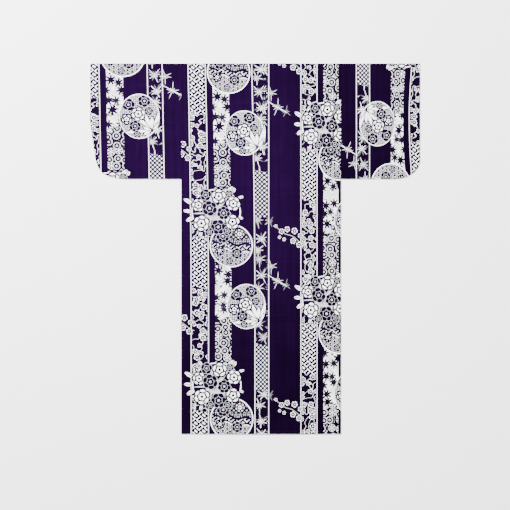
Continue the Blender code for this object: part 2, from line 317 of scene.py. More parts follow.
def plan_net(xs, ys, low_heights, high_heights):
    net = bmesh.new()
    low = net.verts.layers.float.new("low")
    high = net.verts.layers.float.new("high")
    rows = []
    for row, y in enumerate(ys):
        points = []
        for column, x in enumerate(xs):
            point = net.verts.new((x, y, 0.0))
            point[low] = low_heights[row, column]
            point[high] = high_heights[row, column]
            points.append(point)
        rows.append(points)
    for near, far in zip(rows, rows[1:]):
        for a, b, c, d in zip(near, near[1:], far[1:], far):
            net.faces.new((a, b, c, d))
    return net


def cut(net, planes, trim, inset=0.0):
    for x, y, across_x, across_y in planes:
        bmesh.ops.bisect_plane(
            net,
            geom=net.verts[:] + net.edges[:] + net.faces[:],
            dist=1e-5,
            plane_co=(x - across_x * inset, y - across_y * inset, 0.0),
            plane_no=(across_x, across_y, 0.0),
            clear_outer=trim,
        )


def new_piece(name, shell):
    """A piece made from a built shell, smooth but for its folds and rims."""
    mesh = bpy.data.meshes.new(name)
    shell.to_mesh(mesh)
    shell.free()
    mesh.set_sharp_from_angle(angle=SHARP_ANGLE)
    piece = bpy.data.objects.new(name, mesh)
    bpy.context.scene.collection.objects.link(piece)
    mesh.uv_layers["cloth"].active_render = True
    return piece


def layered_shell(name, net, layers, cloth_map, bake_map):
    """A closed shell from a net. layers tells for each face whether the lower layer, the space
    between and the upper layer are cloth. cloth_map gives the place on the bolt, bake_map on a sheet."""
    low = net.verts.layers.float["low"]
    high = net.verts.layers.float["high"]
    shell = bmesh.new()
    cloth = shell.loops.layers.uv.new("cloth")
    bake = shell.loops.layers.uv.new("OFBake")
    points = {}

    def point(vert, level):
        key = (vert.index, level)
        if key not in points:
            base = vert[high] if level > 1 else vert[low]
            points[key] = shell.verts.new((vert.co.x, vert.co.y, base + (CLOTH if level % 2 else 0.0)))
        return points[key]

    def add(corners, island):
        face = shell.faces.new([point(vert, level) for vert, level in corners])
        for loop, (vert, level) in zip(face.loops, corners):
            loop[cloth].uv = cloth_map(vert.co.x, vert.co.y, level > 1)
            loop[bake].uv = bake_map(vert.co.x, vert.co.y, island)
        face.smooth = True

    net.verts.index_update()
    filled = {face: (False,) + layers(face.calc_center_median()) + (False,) for face in net.faces}
    for face, solid in filled.items():
        for level in range(4):
            if solid[level] != solid[level + 1]:
                corners = [(vert, level) for vert in face.verts]
                add(corners[::-1] if solid[level + 1] else corners, level)
    for edge in net.edges:
        for loop in edge.link_loops:
            beside = [filled[other] for other in edge.link_faces if other is not loop.face]
            beside = beside[0] if beside else (False,) * 5
            start = loop.vert
            end = loop.link_loop_next.vert
            for level in range(3):
                if filled[loop.face][level + 1] and not beside[level + 1]:
                    island = 3 if level else 0
                    add([(start, level), (end, level), (end, level + 1), (start, level + 1)], island)
    net.free()
    return new_piece(name, shell)


# Places on the printed bolt. s runs across it and t along it, both in metres.

# Left lines of the stripes at the shoulder, as pixel columns of the photo, and how far they lean
LEFT_STRIPE_PIXEL = 188.6
STRIPE_LEAN_PIXELS = 3.3
LEAN_LENGTH = 1.15
RIGHT_STRIPE_PIXEL = 301.5
SLEEVE_LEFT_STRIPE_PIXEL = 99.0
SLEEVE_RIGHT_STRIPE_PIXEL = 411.8
PICTURE_MIDDLE_PIXEL = 255.0
REPEAT_WIDTH = 0.4838
REPEAT_LENGTH = 0.7460

# Width of the columns on single panels, against those on the left back
RIGHT_BACK_WIDTH = 0.935
LEFT_SLEEVE_WIDTH = 1.04
RIGHT_SLEEVE_WIDTH = 0.914

# Place on the repeat of the stripe line that the sleeves start from, and of each sleeve's shoulder
SLEEVE_LINE = 0.0722
LEFT_SLEEVE_SHOULDER = 0.072
RIGHT_SLEEVE_SHOULDER = 0.558
LEFT_SLEEVE_LEAN = 0.0184

# Bow of the right sleeve's stripes at the cuff: depth, first x, width and length
BOW_DEPTH = 0.012
BOW_START = 0.585
BOW_WIDTH = 0.055
BOW_LENGTH = 0.50

# Room round each face on a bake sheet
SHEET_MARGIN = 0.002


def pixel_x(pixel):
    """The x of a pixel column of the photo."""
    return (pixel - PICTURE_MIDDLE_PIXEL) * PIXEL


def down_cloth(y, upper):
    """Distance down the back from the shoulder fold. On the front, past the fold, it is below zero."""
    return (SHOULDER - y) if upper else (y - SHOULDER)


def on_left_back(x, y, upper):
    t = down_cloth(y, upper)
    ease = min(max(t, 0.0) / LEAN_LENGTH, 1.0)
    lean = STRIPE_LEAN_PIXELS * PIXEL * (2 * ease - ease * ease)
    return x - pixel_x(LEFT_STRIPE_PIXEL) - lean, t


def on_right_back(x, y, upper):
    return (x - pixel_x(RIGHT_STRIPE_PIXEL)) / RIGHT_BACK_WIDTH + REPEAT_WIDTH, down_cloth(y, upper)


def on_left_sleeve(x, y, upper):
    t = down_cloth(y, upper)
    start = pixel_x(SLEEVE_LEFT_STRIPE_PIXEL) + LEFT_SLEEVE_LEAN * t
    return SLEEVE_LINE + (x - start) / LEFT_SLEEVE_WIDTH, t + LEFT_SLEEVE_SHOULDER


def on_right_sleeve(x, y, upper):
    """This sleeve is cut from the bolt turned round, and its cuff side is pulled out of line."""
    t = down_cloth(y, upper)
    share = min(max(t / BOW_LENGTH, 0.0), 1.0)
    bow = BOW_DEPTH * smooth((x - BOW_START) / BOW_WIDTH) * math.sin(math.pi * share)
    s = SLEEVE_LINE + (pixel_x(SLEEVE_RIGHT_STRIPE_PIXEL) - x - bow) / RIGHT_SLEEVE_WIDTH
    return s, RIGHT_SLEEVE_SHOULDER - t


def hidden_map(shift_s, shift_t):
    """Guessed places on the bolt for a panel of the front, which the photo doesn't show."""

    def place(x, y, upper):
        return x + shift_s, down_cloth(y, False) + shift_t

    return place


def sheet_places(low, high, columns):
    """Puts the four faces of two layers side by side on a square: outer top first."""
    order = {3: 0, 0: 1, 2: 2, 1: 3}
    width = high.x - low.x + 2 * SHEET_MARGIN
    depth = high.y - low.y + 2 * SHEET_MARGIN
    rows = math.ceil(4 / columns)
    side = max(width * columns, depth * rows)

    def place(x, y, island):
        spot = order[island]
        column = spot % columns
        row = spot // columns
        right = x - low.x + SHEET_MARGIN + column * width
        up = y - low.y + SHEET_MARGIN + row * depth
        return right / side, up / side

    return place


# Arithmetic in node trees


def feed(tree, slot, value):
    """Sets a socket to a plain number or colour, or links it to a carried number or a socket."""
    value = value.source if isinstance(value, Number) else value
    if isinstance(value, (int, float, tuple)):
        slot.default_value = value
    else:
        tree.links.new(value, slot)


class Number:
    """A number carried by a socket, or a plain one, with ordinary arithmetic."""

    def __init__(self, tree, source):
        self.tree = tree
        self.source = source

    def made(self, operation, *others):
        node = self.tree.nodes.new("ShaderNodeMath")
        node.operation = operation
        for slot, value in zip(node.inputs, (self, *others)):
            feed(self.tree, slot, value)
        return Number(self.tree, node.outputs[0])

    def __rsub__(self, other):
        return Number(self.tree, other).made("SUBTRACT", self)

    def __rtruediv__(self, other):
        return Number(self.tree, other).made("DIVIDE", self)

    __add__ = partialmethod(made, "ADD")
    __sub__ = partialmethod(made, "SUBTRACT")
    __mul__ = partialmethod(made, "MULTIPLY")
    __rmul__ = __mul__
    __truediv__ = partialmethod(made, "DIVIDE")
    __lt__ = partialmethod(made, "LESS_THAN")
    __gt__ = partialmethod(made, "GREATER_THAN")
    times_plus = partialmethod(made, "MULTIPLY_ADD")
    whole = partialmethod(made, "FLOOR")
    rest = partialmethod(made, "FRACT")
    nearest = partialmethod(made, "ROUND")
    size = partialmethod(made, "ABSOLUTE")
    root = partialmethod(made, "SQRT")
    sine = partialmethod(made, "SINE")
    cosine = partialmethod(made, "COSINE")
    least = partialmethod(made, "MINIMUM")
    most = partialmethod(made, "MAXIMUM")
    angle_from = partialmethod(made, "ARCTAN2")
    to_power = partialmethod(made, "POWER")


def length_of(x, y):
    return x.times_plus(x, y * y).root()


def blend(under, over, cover):
    """The ink of one thing over another, where the cover is 1."""
    node = under.tree.nodes.new("ShaderNodeMix")
    node.data_type = "FLOAT"
    node.clamp_factor = True
    for slot, value in zip((node.inputs[0], node.inputs[2], node.inputs[3]), (cover, under, over)):
        feed(under.tree, slot, value)
    return Number(under.tree, node.outputs[0])


def add_group(rule, outputs):
    """A node group named like a rule, a function whose arguments are the group's inputs."""
    tree = bpy.data.node_groups.new(rule.__name__.replace("_", " "), "ShaderNodeTree")
    inputs = list(inspect.signature(rule).parameters)
    for names, direction in ((inputs, "INPUT"), (outputs, "OUTPUT")):
        for name in names:
            tree.interface.new_socket(name, in_out=direction, socket_type="NodeSocketFloat")
    source = tree.nodes.new("NodeGroupInput")
    target = tree.nodes.new("NodeGroupOutput")
    results = rule(*(Number(tree, source.outputs[name]) for name in inputs))
    for slot, result in zip(target.inputs, results):
        feed(tree, slot, result)


def use_group(name, *values):
    """The results of a group for some numbers, of which the first is carried by a socket."""
    tree = values[0].tree
    node = tree.nodes.new("ShaderNodeGroup")
    node.node_tree = bpy.data.node_groups[name]
    for slot, value in zip(node.inputs, values):
        feed(tree, slot, value)
    results = [Number(tree, socket) for socket in node.outputs]
    return results if len(results) > 1 else results[0]


def flat_texture(kind, x, y, scale, **amounts):
    """A Voronoi or noise texture in the plane, with its scale in features a metre."""
    tree = x.tree
    node = tree.nodes.new(kind)
    if kind == "ShaderNodeTexVoronoi":
        node.voronoi_dimensions = "2D"
    else:
        node.noise_dimensions = "2D"
    place = tree.nodes.new("ShaderNodeCombineXYZ")
    feed(tree, place.inputs[0], x)
    feed(tree, place.inputs[1], y)
    tree.links.new(place.outputs[0], node.inputs["Vector"])
    for name, value in (("Scale", scale), *amounts.items()):
        node.inputs[name].default_value = value
    return node


def noise(x, y, scale, detail):
    node = flat_texture("ShaderNodeTexNoise", x, y, scale, Detail=detail)
    return Number(x.tree, node.outputs["Fac"])


def parts_of(tree, socket):
    """The first two parts of a vector or a colour."""
    node = tree.nodes.new("ShaderNodeSeparateXYZ")
    tree.links.new(socket, node.inputs[0])
    return Number(tree, node.outputs[0]), Number(tree, node.outputs[1])


# Motif groups

# Pitches of the lattices and of the wave scales
DIAMOND_PITCH = 0.0340
NET_PITCH = 0.0185
WAVE_PITCH = 0.0380


def nearest_copy(s, t, place_s, place_t):
    """Distance from the nearest copy of a motif: columns half a repeat lower than their neighbours."""
    off = s - place_s
    column = (off / REPEAT_WIDTH).nearest()
    x = column.times_plus(-REPEAT_WIDTH, off)
    down = column.times_plus(REPEAT_LENGTH / 2, t - place_t)
    y = (down / REPEAT_LENGTH).nearest().times_plus(-REPEAT_LENGTH, down)
    return x, y


def blossom(x, y, radius, petals, turn, line):
    """A full blossom with an outer and an inner ring of petals, dark outlines and a dark middle."""
    out = length_of(x, y)
    angle = (y.angle_from(x) + turn) * petals * 0.5
    lobe = angle.cosine().size()
    edge = (lobe.root() * radius).times_plus(0.22, radius * 0.78)
    cover = out < edge
    outline = out > (edge - line)
    inner_lobe = angle.sine().size()
    inner_edge = (inner_lobe.root() * radius).times_plus(0.16, radius * 0.34)
    ring = (out - inner_edge).size() < (line * 0.5)
    side = (lobe * out < line) * (out > inner_edge)
    middle = out < radius * 0.16
    return cover, 1 - outline.most(ring).most(side * 0.8).most(middle)


def plum_blossom(x, y, radius, turn):
    """A small five-petalled blossom with a dark ring."""
    out = length_of(x, y) / radius
    lobe = ((y.angle_from(x) + turn) * 2.5).cosine().size()
    cover = out < lobe.root().times_plus(0.26, 0.74)
    ring = (out - 0.43).size() < 0.23
    notch = (lobe < 0.36) * (out > 0.60)
    return cover, 1 - ring.most(notch)


def leaf(x, y, length, width, cosine, sine):
    """A pointed leaf from its stalk end, with a midrib."""
    along = x * cosine + y * sine
    across = (y * cosine - x * sine).size()
    share = along / length
    edge = share * (1 - share) * width * 4
    outline = across > (edge - 0.0036)
    return across < edge, 1 - outline.most(across < 0.0014)


def leaf_fan(x, y, length, width, leaves, turn, line):
    """Slender leaves that fan out from one point, uneven in length."""
    step = 2 * math.pi / leaves
    angle = (y.angle_from(x) + turn) / step
    number = angle.nearest()
    lean = (angle - number) * step
    reach = length * (number * 2.4 + turn).sine().times_plus(0.36, 0.64)
    out = length_of(x, y)
    share = out * lean.cosine() / reach
    across = (out * lean.sine()).size()
    edge = share * (1 - share) * width * 4
    return across < edge, across < (edge - line)


def maple_leaf(x, y, radius, turn):
    """A leaf with seven pointed lobes."""
    lobe = ((y.angle_from(x) + turn) * 3.5).cosine().size()
    edge = (lobe * lobe).times_plus(0.54, 0.46) * radius
    return (length_of(x, y) < edge,)


def lattices(s, t):
    """Traditional lattices, one value for each: nested diamonds, a fine net and chequers."""
    across = (s / DIAMOND_PITCH + (t * (2 * math.pi / DIAMOND_PITCH)).sine() * 0.12).rest() - 0.5
    down = (t / DIAMOND_PITCH).rest() - 0.5
    reach = across.size() + down.size()
    diamonds = (reach * (4 * math.pi)).sine() > 0.50
    rising = ((s + t) / NET_PITCH).rest() - 0.5
    falling = ((s - t) / NET_PITCH).rest() - 0.5
    net = rising.size().most(falling.size()) < 0.25
    chequers = (rising * falling) > 0.020
    return diamonds, net, chequers


def wave_scales(x, y):
    """Overlapping wave scales in rows, each with two arcs."""
    ink = None
    base = (y / (WAVE_PITCH / 4)).whole()
    for back in (2, 1, 0):
        row = base + back
        across = ((x / WAVE_PITCH - row * 0.5) + 0.5).rest().times_plus(WAVE_PITCH, -WAVE_PITCH / 2)
        down = y - (row + 1) * (WAVE_PITCH / 4)
        out = length_of(across, down) / (WAVE_PITCH / 2)
        arcs = (out * 15.7).sine() < -0.15
        inside = out < 1.0
        ink = arcs * inside if ink is None else blend(ink, arcs, inside)
    return (ink,)


# How far left of the first stripe's line a column of the repeat starts
COLUMN_START = 0.0060

# Stripes across the repeat, each from and to, in metres from the left line of the first
PLUM_STRIPE = (-0.0030, 0.0715)
MAPLE_STRIPE = (0.1006, 0.1700)
BAMBOO_STRIPE = (0.2711, 0.3328)

# Width of a stripe's edge line, half width of the dark gap round it, and width of the dye's soft edge
STRIPE_LINE = 0.0035
STRIPE_GAP = STRIPE_LINE * 1.4
DYE_EDGE = 0.0018

# Spacing and unevenness of the motifs that fill the stripes, and the period of the rings
PLUM_SCATTER = (0.0285, 0.80)
MAPLE_SCATTER = (0.0440, 0.92)
ROUND_SCATTER = (0.0340, 0.55)
BAMBOO_SCATTER = (0.0560, 0.60)
RING_PERIOD = 0.0110

# Middles and half sizes of the big motifs in the repeat
BALL_PLACE = (0.1070, 0.6370)
BALL_HALF_SIZE = (0.1060, 0.0970)
WAVE_ROUNDEL_PLACE = (0.1710, 0.7830)
WAVE_ROUNDEL_HALF_SIZE = (0.0930, 0.0925)
GARDEN_ROUNDEL_PLACE = (0.2345, 1.0450)
GARDEN_ROUNDEL_HALF_SIZE = (0.0840, 0.0965)

# Lines of the light and the dark blossoms, and the ink of the dark ones' lines
LIGHT_BLOSSOM_LINE = 0.0072
DARK_BLOSSOM_LINE = 0.0015
DARK_BLOSSOM_INK = 0.72

# Blossoms, as x and y from the middle of their motif, radius, petals, turn, 1 if dark
BALL_BLOSSOMS = (
    (-0.064, 0.050, 0.039, 6, 0.4, 0),
    (0.008, 0.066, 0.034, 6, 1.1, 1),
    (0.070, 0.044, 0.036, 5, 0.2, 0),
    (-0.076, -0.028, 0.033, 6, 2.0, 0),
    (0.074, -0.034, 0.036, 6, 0.9, 0),
    (0.012, -0.066, 0.036, 5, 0.3, 0),
    (-0.028, -0.014, 0.034, 6, 0.7, 1),
    (0.032, 0.006, 0.030, 7, 1.6, 1),
    (-0.044, -0.072, 0.026, 5, 0.2, 1),
    (-0.030, 0.088, 0.020, 5, 1.2, 1),
    (0.048, 0.084, 0.020, 5, 0.6, 1),
    (0.056, -0.076, 0.018, 5, 0.9, 1),
)
WAVE_ROUNDEL_BLOSSOMS = (
    (-0.036, -0.040, 0.030, 8, 0.2, 1),
    (0.036, -0.050, 0.026, 7, 0.8, 0),
    (0.024, 0.034, 0.025, 6, 0.5, 1),
    (-0.050, 0.022, 0.022, 6, 1.3, 0),
    (-0.008, 0.066, 0.018, 5, 0.1, 1),
)
GARDEN_ROUNDEL_BLOSSOMS = (
    (-0.044, -0.050, 0.028, 5, 0.1, 1),
    (0.022, -0.066, 0.028, 6, 0.6, 1),
    (-0.004, -0.010, 0.034, 6, 0.3, 0),
    (-0.052, 0.012, 0.026, 5, 0.9, 0),
    (-0.018, 0.042, 0.026, 6, 0.4, 1),
    (-0.010, 0.078, 0.018, 5, 0.4, 1),
    (0.040, -0.022, 0.020, 5, 1.4, 1),
)

# Leaves round the ball: x and y of the stalk from its middle, length, half width, turn in degrees
BALL_LEAVES = (
    (-0.092, -0.030, 0.060, 0.012, 208.0),
    (-0.098, 0.000, 0.050, 0.011, 186.0),
    (-0.092, 0.020, 0.048, 0.012, 150.0),
    (-0.060, -0.080, 0.036, 0.010, 232.0),
    (0.044, -0.084, 0.044, 0.011, 324.0),
    (0.072, -0.076, 0.034, 0.009, 292.0),
    (0.088, -0.058, 0.038, 0.009, 348.0),
    (0.092, 0.022, 0.030, 0.009, 20.0),
    (-0.060, 0.082, 0.034, 0.010, 118.0),
)

# Bamboo sprays that reach across a wide dark stripe: place, leaf length, leaves, turn, ink
CROSSING_PLACE = (0.3720, 0.9370)
CROSSING_SPRAYS = (
    (0.3450, 0.8730, 0.037, 9, 0.5, 0.74),
    (0.3740, 0.9350, 0.042, 9, 0.1, 0.74),
    (0.4130, 0.9530, 0.030, 9, 1.4, 0.44),
    (0.3380, 0.6790, 0.028, 9, 0.9, 0.44),
)

# Plum branch over the wide dark stripe: blossoms by place and radius
BRANCH_PLACE = (-0.0600, 1.1100)
BRANCH_BLOSSOMS = (
    (-0.0920, 1.0950, 0.0118),
    (-0.0660, 1.0860, 0.0122),
    (-0.0320, 1.0930, 0.0136),
    (-0.0390, 1.1360, 0.0128),
    (-0.0110, 1.1520, 0.0132),
    (-0.0060, 1.1130, 0.0105),
    (-0.1010, 1.1200, 0.0070),
    (-0.0800, 1.1290, 0.0080),
    (-0.1180, 1.0720, 0.0070),
)

# Where the stripes change their filling: start and end down the repeat from the ball's middle, slant
DIAMOND_RUN = (0.105, 0.318, 0.20)
ROUND_RUN = (0.478, 0.700, -0.50)
BAMBOO_RUN = (0.020, 0.570, 0.10)


def between(value, low, high):
    """1 inside a range, easing to 0 across the soft edge of the dye."""
    inside = (high - low) / 2 - (value - (low + high) / 2).size()
    return inside.times_plus(1 / DYE_EDGE, 0.5).least(1.0).most(0.0)


def scatter(s, t, spacing, randomness):
    """The offset from the nearest of many uneven points, with two random numbers of that point."""
    cells = flat_texture("ShaderNodeTexVoronoi", s, t, 1 / spacing, Randomness=randomness)
    point_x, point_y = parts_of(s.tree, cells.outputs["Position"])
    first, second = parts_of(s.tree, cells.outputs["Color"])
    return s - point_x, t - point_y, first, second


def near_motif(s, t, place, half_size):
    """The place in the nearest copy of a motif, and how far out it lies, with 1 at the rim."""
    x, y = use_group("nearest copy", s, t, *place)
    return x, y, length_of(x / half_size[0], y / half_size[1])


def add_blossoms(x, y, ink, blossoms):
    for place_x, place_y, radius, petals, turn, dark in blossoms:
        line = DARK_BLOSSOM_LINE if dark else LIGHT_BLOSSOM_LINE
        cover, petal_ink = use_group("blossom", x - place_x, y - place_y, radius, petals, turn, line)
        ink = blend(ink, (1 - petal_ink) * DARK_BLOSSOM_INK if dark else petal_ink, cover)
    return ink


def stripe_fillings(s, t):
    """The ink of the stripes, their fillings and lines, before the big motifs."""
    column = ((s + COLUMN_START) / REPEAT_WIDTH).whole()
    across = column.times_plus(-REPEAT_WIDTH, s)
    down = column.times_plus(REPEAT_LENGTH / 2, t - BALL_PLACE[1])

    def run(start, low, high, slant):
        moved = down - (across - start) * slant
        return between(moved - (moved / REPEAT_LENGTH).whole() * REPEAT_LENGTH, low, high)

    diamonds, net = use_group("lattices", s, t)[:2]
    haze = noise(s, t, 24.0, 1.0)
    twig = (haze - 0.5).size() < 0.018

    x, y, first, second = scatter(s, t, *PLUM_SCATTER)
    cover, ink = use_group("plum blossom", x, y, first.times_plus(0.0060, 0.0082), second * 6.0)
    plum = blend(twig * 0.80, ink, cover * (second > 0.20))
    low, high, slant = DIAMOND_RUN
    plum = blend(plum, diamonds, run(0.0, low, high, slant))

    x, y, first, second = scatter(s, t, *MAPLE_SCATTER)
    maple = use_group("maple leaf", x, y, first.times_plus(0.0060, 0.0193), second * 6.0)
    shadow = (haze > 0.57) * 0.18
    maple = 1 - (maple * first.times_plus(0.12, 0.88)).most(twig * 0.66).most(shadow)
    x, y, first, second = scatter(s, t, *ROUND_SCATTER)
    out = length_of(x, y)
    rings = (out * (2 * math.pi / RING_PERIOD)).sine() > 0.45
    petals = ((y.angle_from(x) * 6.0).cosine() > -0.1) * (out > 0.0045) * (out < 0.0150)
    flower = (1 - petals) * (out < 0.0165)
    rounds = blend(rings * 0.76, flower * 0.84, first > 0.62)
    low, high, slant = ROUND_RUN
    maple = blend(maple, rounds, run(MAPLE_STRIPE[0], low, high, slant))

    x, y, first, second = scatter(s, t, *BAMBOO_SCATTER)
    back = use_group("leaf fan", y + 0.004, x, 0.038, 0.0026, 8.0, second * 6.0, 0.0)[0]
    spray = use_group("leaf fan", x, y, 0.040, 0.0017, 9.0, first * 6.0, 0.0)[0]
    bamboo = (back * 0.34).most(spray * second.times_plus(0.3, 0.70))
    low, high, slant = BAMBOO_RUN
    bamboo = blend(net * 0.80 + 0.12, bamboo, run(BAMBOO_STRIPE[0], low, high, slant))

    ink = plum * between(across, *PLUM_STRIPE)
    ink = blend(ink, maple, between(across, *MAPLE_STRIPE))
    ink = blend(ink, bamboo, between(across, *BAMBOO_STRIPE))
    for edge in (*PLUM_STRIPE, *BAMBOO_STRIPE):
        gap = between(across, edge - STRIPE_GAP, edge + STRIPE_GAP)
        line = between(across, edge - STRIPE_LINE / 2, edge + STRIPE_LINE / 2)
        ink = blend(ink, line, gap)
    return ink


def add_crossings(s, t, ink):
    """Bamboo sprays and the plum branch, which reach across the wide dark stripe."""
    x, y = use_group("nearest copy", s, t, *CROSSING_PLACE)
    stem = ((x * 0.55 - y - 0.004).size() < 0.0014) * (x.size() < 0.044)
    ink = ink.most(stem)
    for place_s, place_t, length, leaves, turn, shade in CROSSING_SPRAYS:
        near_x = x - (place_s - CROSSING_PLACE[0])
        near_y = y - (place_t - CROSSING_PLACE[1])
        cover = use_group("leaf fan", near_x, near_y, length, 0.0015, leaves, turn, 0.0)[0]
        ink = ink.most(cover * shade)
    x, y = use_group("nearest copy", s, t, *BRANCH_PLACE)
    twig = ((y - x * 0.52 + (x * 80.0).sine() * 0.004).size() < 0.0014) * (x.size() < 0.070)
    ink = ink.most(twig * 0.66)
    for place_s, place_t, radius in BRANCH_BLOSSOMS:
        near_x = x - (place_s - BRANCH_PLACE[0])
        near_y = y - (place_t - BRANCH_PLACE[1])
        cover, petals = use_group("plum blossom", near_x, near_y, radius, place_t * 9.0)
        ink = blend(ink, petals, cover)
    return ink


def add_wave_roundel(s, t, ink):
    """A ringed roundel with wave scales below, chequers above and blossoms over them."""
    x, y, out = near_motif(s, t, WAVE_ROUNDEL_PLACE, WAVE_ROUNDEL_HALF_SIZE)
    waves = use_group("wave scales", x, y)
    diamonds, net, chequers = use_group("lattices", x, y)
    shore = y - (x * 72.0).sine() * 0.007 - x * 0.15
    inner = blend(chequers * 0.58 + 0.08, waves * 0.74 + 0.05, shore > 0.022)
    inner = blend(inner, 0.0, between(shore, -0.016, 0.022))
    inner = blend(inner, diamonds * 0.80 + 0.05, between(shore, -0.006, 0.014))
    inner = blend(inner, 0.90, between(shore, 0.020, 0.026))
    inner = blend(inner, net * 0.60 + 0.05, between(shore, -0.058, -0.030))
    inner = add_blossoms(x, y, inner, WAVE_ROUNDEL_BLOSSOMS)
    inner = (inner * (out < 0.905)).most(out > 0.945)
    return blend(ink, inner, out < 1.0)


def add_garden_roundel(s, t, ink):
    """A light roundel with blossoms and long leaves on a chequered ground."""
    x, y, out = near_motif(s, t, GARDEN_ROUNDEL_PLACE, GARDEN_ROUNDEL_HALF_SIZE)
    chequers = use_group("lattices", x, y)[2]
    inner = (1 - chequers) * 0.64 + 0.04
    cover, leaf_ink = use_group("leaf fan", x - 0.052, y - 0.060, 0.150, 0.0120, 15.0, 0.3, 0.0045)
    inner = blend(inner, leaf_ink, cover)
    inner = add_blossoms(x, y, inner, GARDEN_ROUNDEL_BLOSSOMS)
    inner = inner.most(out > 0.965)
    return blend(ink, inner, out < 1.0)


def add_flower_ball(s, t, ink):
    """A ball of blossoms with leaves round it."""
    x, y, out = near_motif(s, t, BALL_PLACE, BALL_HALF_SIZE)
    for place_x, place_y, length, width, turn in BALL_LEAVES:
        shape = (length, width, *cosine_and_sine(turn))
        cover, leaf_ink = use_group("leaf", x - place_x, y - place_y, *shape)
        ink = blend(ink, leaf_ink, cover)
    leaves = use_group("leaf fan", x + 0.012, y - 0.010, 0.110, 0.0110, 22.0, 0.3, 0.0042)[1]
    ground = (leaves * 0.72).most(out > 0.955)
    ink = blend(ink, ground, out < 1.0)
    return add_blossoms(x, y, ink, BALL_BLOSSOMS)


def yukata_print(s, t):
    """The whole print, as the share of white at a place on the bolt."""
    ink = stripe_fillings(s, t)
    for add in (add_crossings, add_wave_roundel, add_garden_roundel, add_flower_ball):
        ink = add(s, t, ink)
    return (ink,)


# Node groups in the order in which they need each other, with their outputs
GROUPS = (
    (nearest_copy, ("x", "y")),
    (blossom, ("cover", "ink")),
    (plum_blossom, ("cover", "ink")),
    (leaf, ("cover", "ink")),
    (leaf_fan, ("cover", "ink")),
    (maple_leaf, ("cover",)),
    (lattices, ("diamonds", "net", "chequers")),
    (wave_scales, ("ink",)),
    (yukata_print, ("ink",)),
)

# Pitch of the weave, how far the dye soaks into it, and how sharply the ink turns to white
THREAD_PITCH = 0.0008
SOAK = 0.0005
INK_CONTRAST = 2.2

# Factors on the place in a noise, which draw it out to threads and to streaks
THREAD_STRETCH = 0.12
STREAK_STRETCH = 0.03

# Painted shade on the ground: deepening to the right from an x, over a width and by a share, and down
# over a length
DARKER_FROM = 0.12
DARKER_WIDTH = 0.20
DARKER_BY = 0.46
DARKER_LENGTH = 1.4


def new_material(name, roughness):
    """A material of nodes, and its shader."""
    material = bpy.data.materials.new(name)
    material.use_nodes = True
    shader = material.node_tree.nodes["Principled BSDF"]
    shader.inputs["Roughness"].default_value = roughness
    return material, shader


def colour_mix(tree, kind, factor, under, over):
    node = tree.nodes.new("ShaderNodeMix")
    node.data_type = "RGBA"
    node.blend_type = kind
    for slot, value in ((0, factor), (6, under), (7, over)):
        feed(tree, node.inputs[slot], value)
    return node.outputs[2]


def dye_factor(s, t, threads):
    """Factor on the dyed ground: threads, patches and streaks, times painted shade that deepens it at the
    right and the hem.
    """
    patches = noise(s, t, 9.0, 3.0)
    warp_streaks = noise(s, t * STREAK_STRETCH, 70.0, 2.0)
    weft_streaks = noise(s * STREAK_STRETCH, t, 90.0, 2.0)
    streaks = warp_streaks.times_plus(0.70, 0.50) + weft_streaks * 0.30
    spot = s.tree.nodes.new("ShaderNodeTexCoord")
    right = parts_of(s.tree, spot.outputs["Object"])[0]
    # Painted shade: the ground deepens towards the right.
    darker = ((right - DARKER_FROM) / DARKER_WIDTH).most(0.0).least(1.0).times_plus(-DARKER_BY, 1.0)
    # Painted light and shade down the cloth: brightest partway down, deepest at the hem.
    down = (t.most(0.0) / DARKER_LENGTH).least(1.0)
    middle = (down * math.pi).sine().times_plus(0.40, 0.80)
    shade = down.times_plus(-0.36, 1.03) * middle * darker
    return threads.times_plus(0.35, 0.65) * patches.times_plus(0.6, 0.70) * streaks * shade


def printed_cotton(settings):
    """Dark violet-navy cotton with the white print, its plain weave and slubs."""
    found = bpy.data.materials.get("printed cotton")
    if found:
        return found
    for rule, outputs in GROUPS:
        add_group(rule, outputs)
    material, shader = new_material("printed cotton", settings.roughness)
    tree = material.node_tree
    shader.inputs["Sheen Weight"].default_value = settings.sheen
    shader.inputs["Sheen Roughness"].default_value = 0.5
    shader.inputs["Specular IOR Level"].default_value = 0.0
    place = tree.nodes.new("ShaderNodeUVMap")
    place.uv_map = "cloth"
    s, t = parts_of(tree, place.outputs[0])
    shift = noise(s, t, 600.0, 1.0) - 0.5
    soaked = (shift.times_plus(SOAK, s), shift.times_plus(-SOAK, t))
    printed = use_group("yukata print", *soaked).to_power(INK_CONTRAST)

    warp = noise(s, t * THREAD_STRETCH, 700.0, 2.0)
    weft = noise(s * THREAD_STRETCH, t, 700.0, 2.0)
    threads = warp + weft
    # The factor carries painted shade as well as the dye's threads, patches and streaks.
    factor = dye_factor(s, t, threads)
    ground = colour_mix(tree, "MULTIPLY", 1.0, (*settings.ground, 1.0), factor)
    cloth = colour_mix(tree, "MIX", printed, ground, (*settings.white, 1.0))
    tree.links.new(cloth, shader.inputs["Base Color"])

    weave = (s * (math.pi / THREAD_PITCH)).sine() * (t * (math.pi / THREAD_PITCH)).sine()
    bump = tree.nodes.new("ShaderNodeBump")
    bump.inputs["Strength"].default_value = 0.25
    bump.inputs["Distance"].default_value = 0.0002
    feed(tree, bump.inputs["Height"], weave * 0.4 + threads)
    tree.links.new(bump.outputs[0], shader.inputs["Normal"])
    return material


def thread_material(settings):
    found = bpy.data.materials.get("sewing thread")
    if found:
        return found
    material, shader = new_material("sewing thread", 0.7)
    tree = material.node_tree
    fibres = tree.nodes.new("ShaderNodeTexNoise")
    fibres.inputs["Scale"].default_value = 900.0
    ramp = tree.nodes.new("ShaderNodeValToRGB")
    ramp.color_ramp.elements[0].color = (*(0.6 * channel for channel in settings.thread), 1.0)
    ramp.color_ramp.elements[1].color = (*settings.thread, 1.0)
    tree.links.new(fibres.outputs["Fac"], ramp.inputs[0])
    tree.links.new(ramp.outputs[0], shader.inputs["Base Color"])
    return material


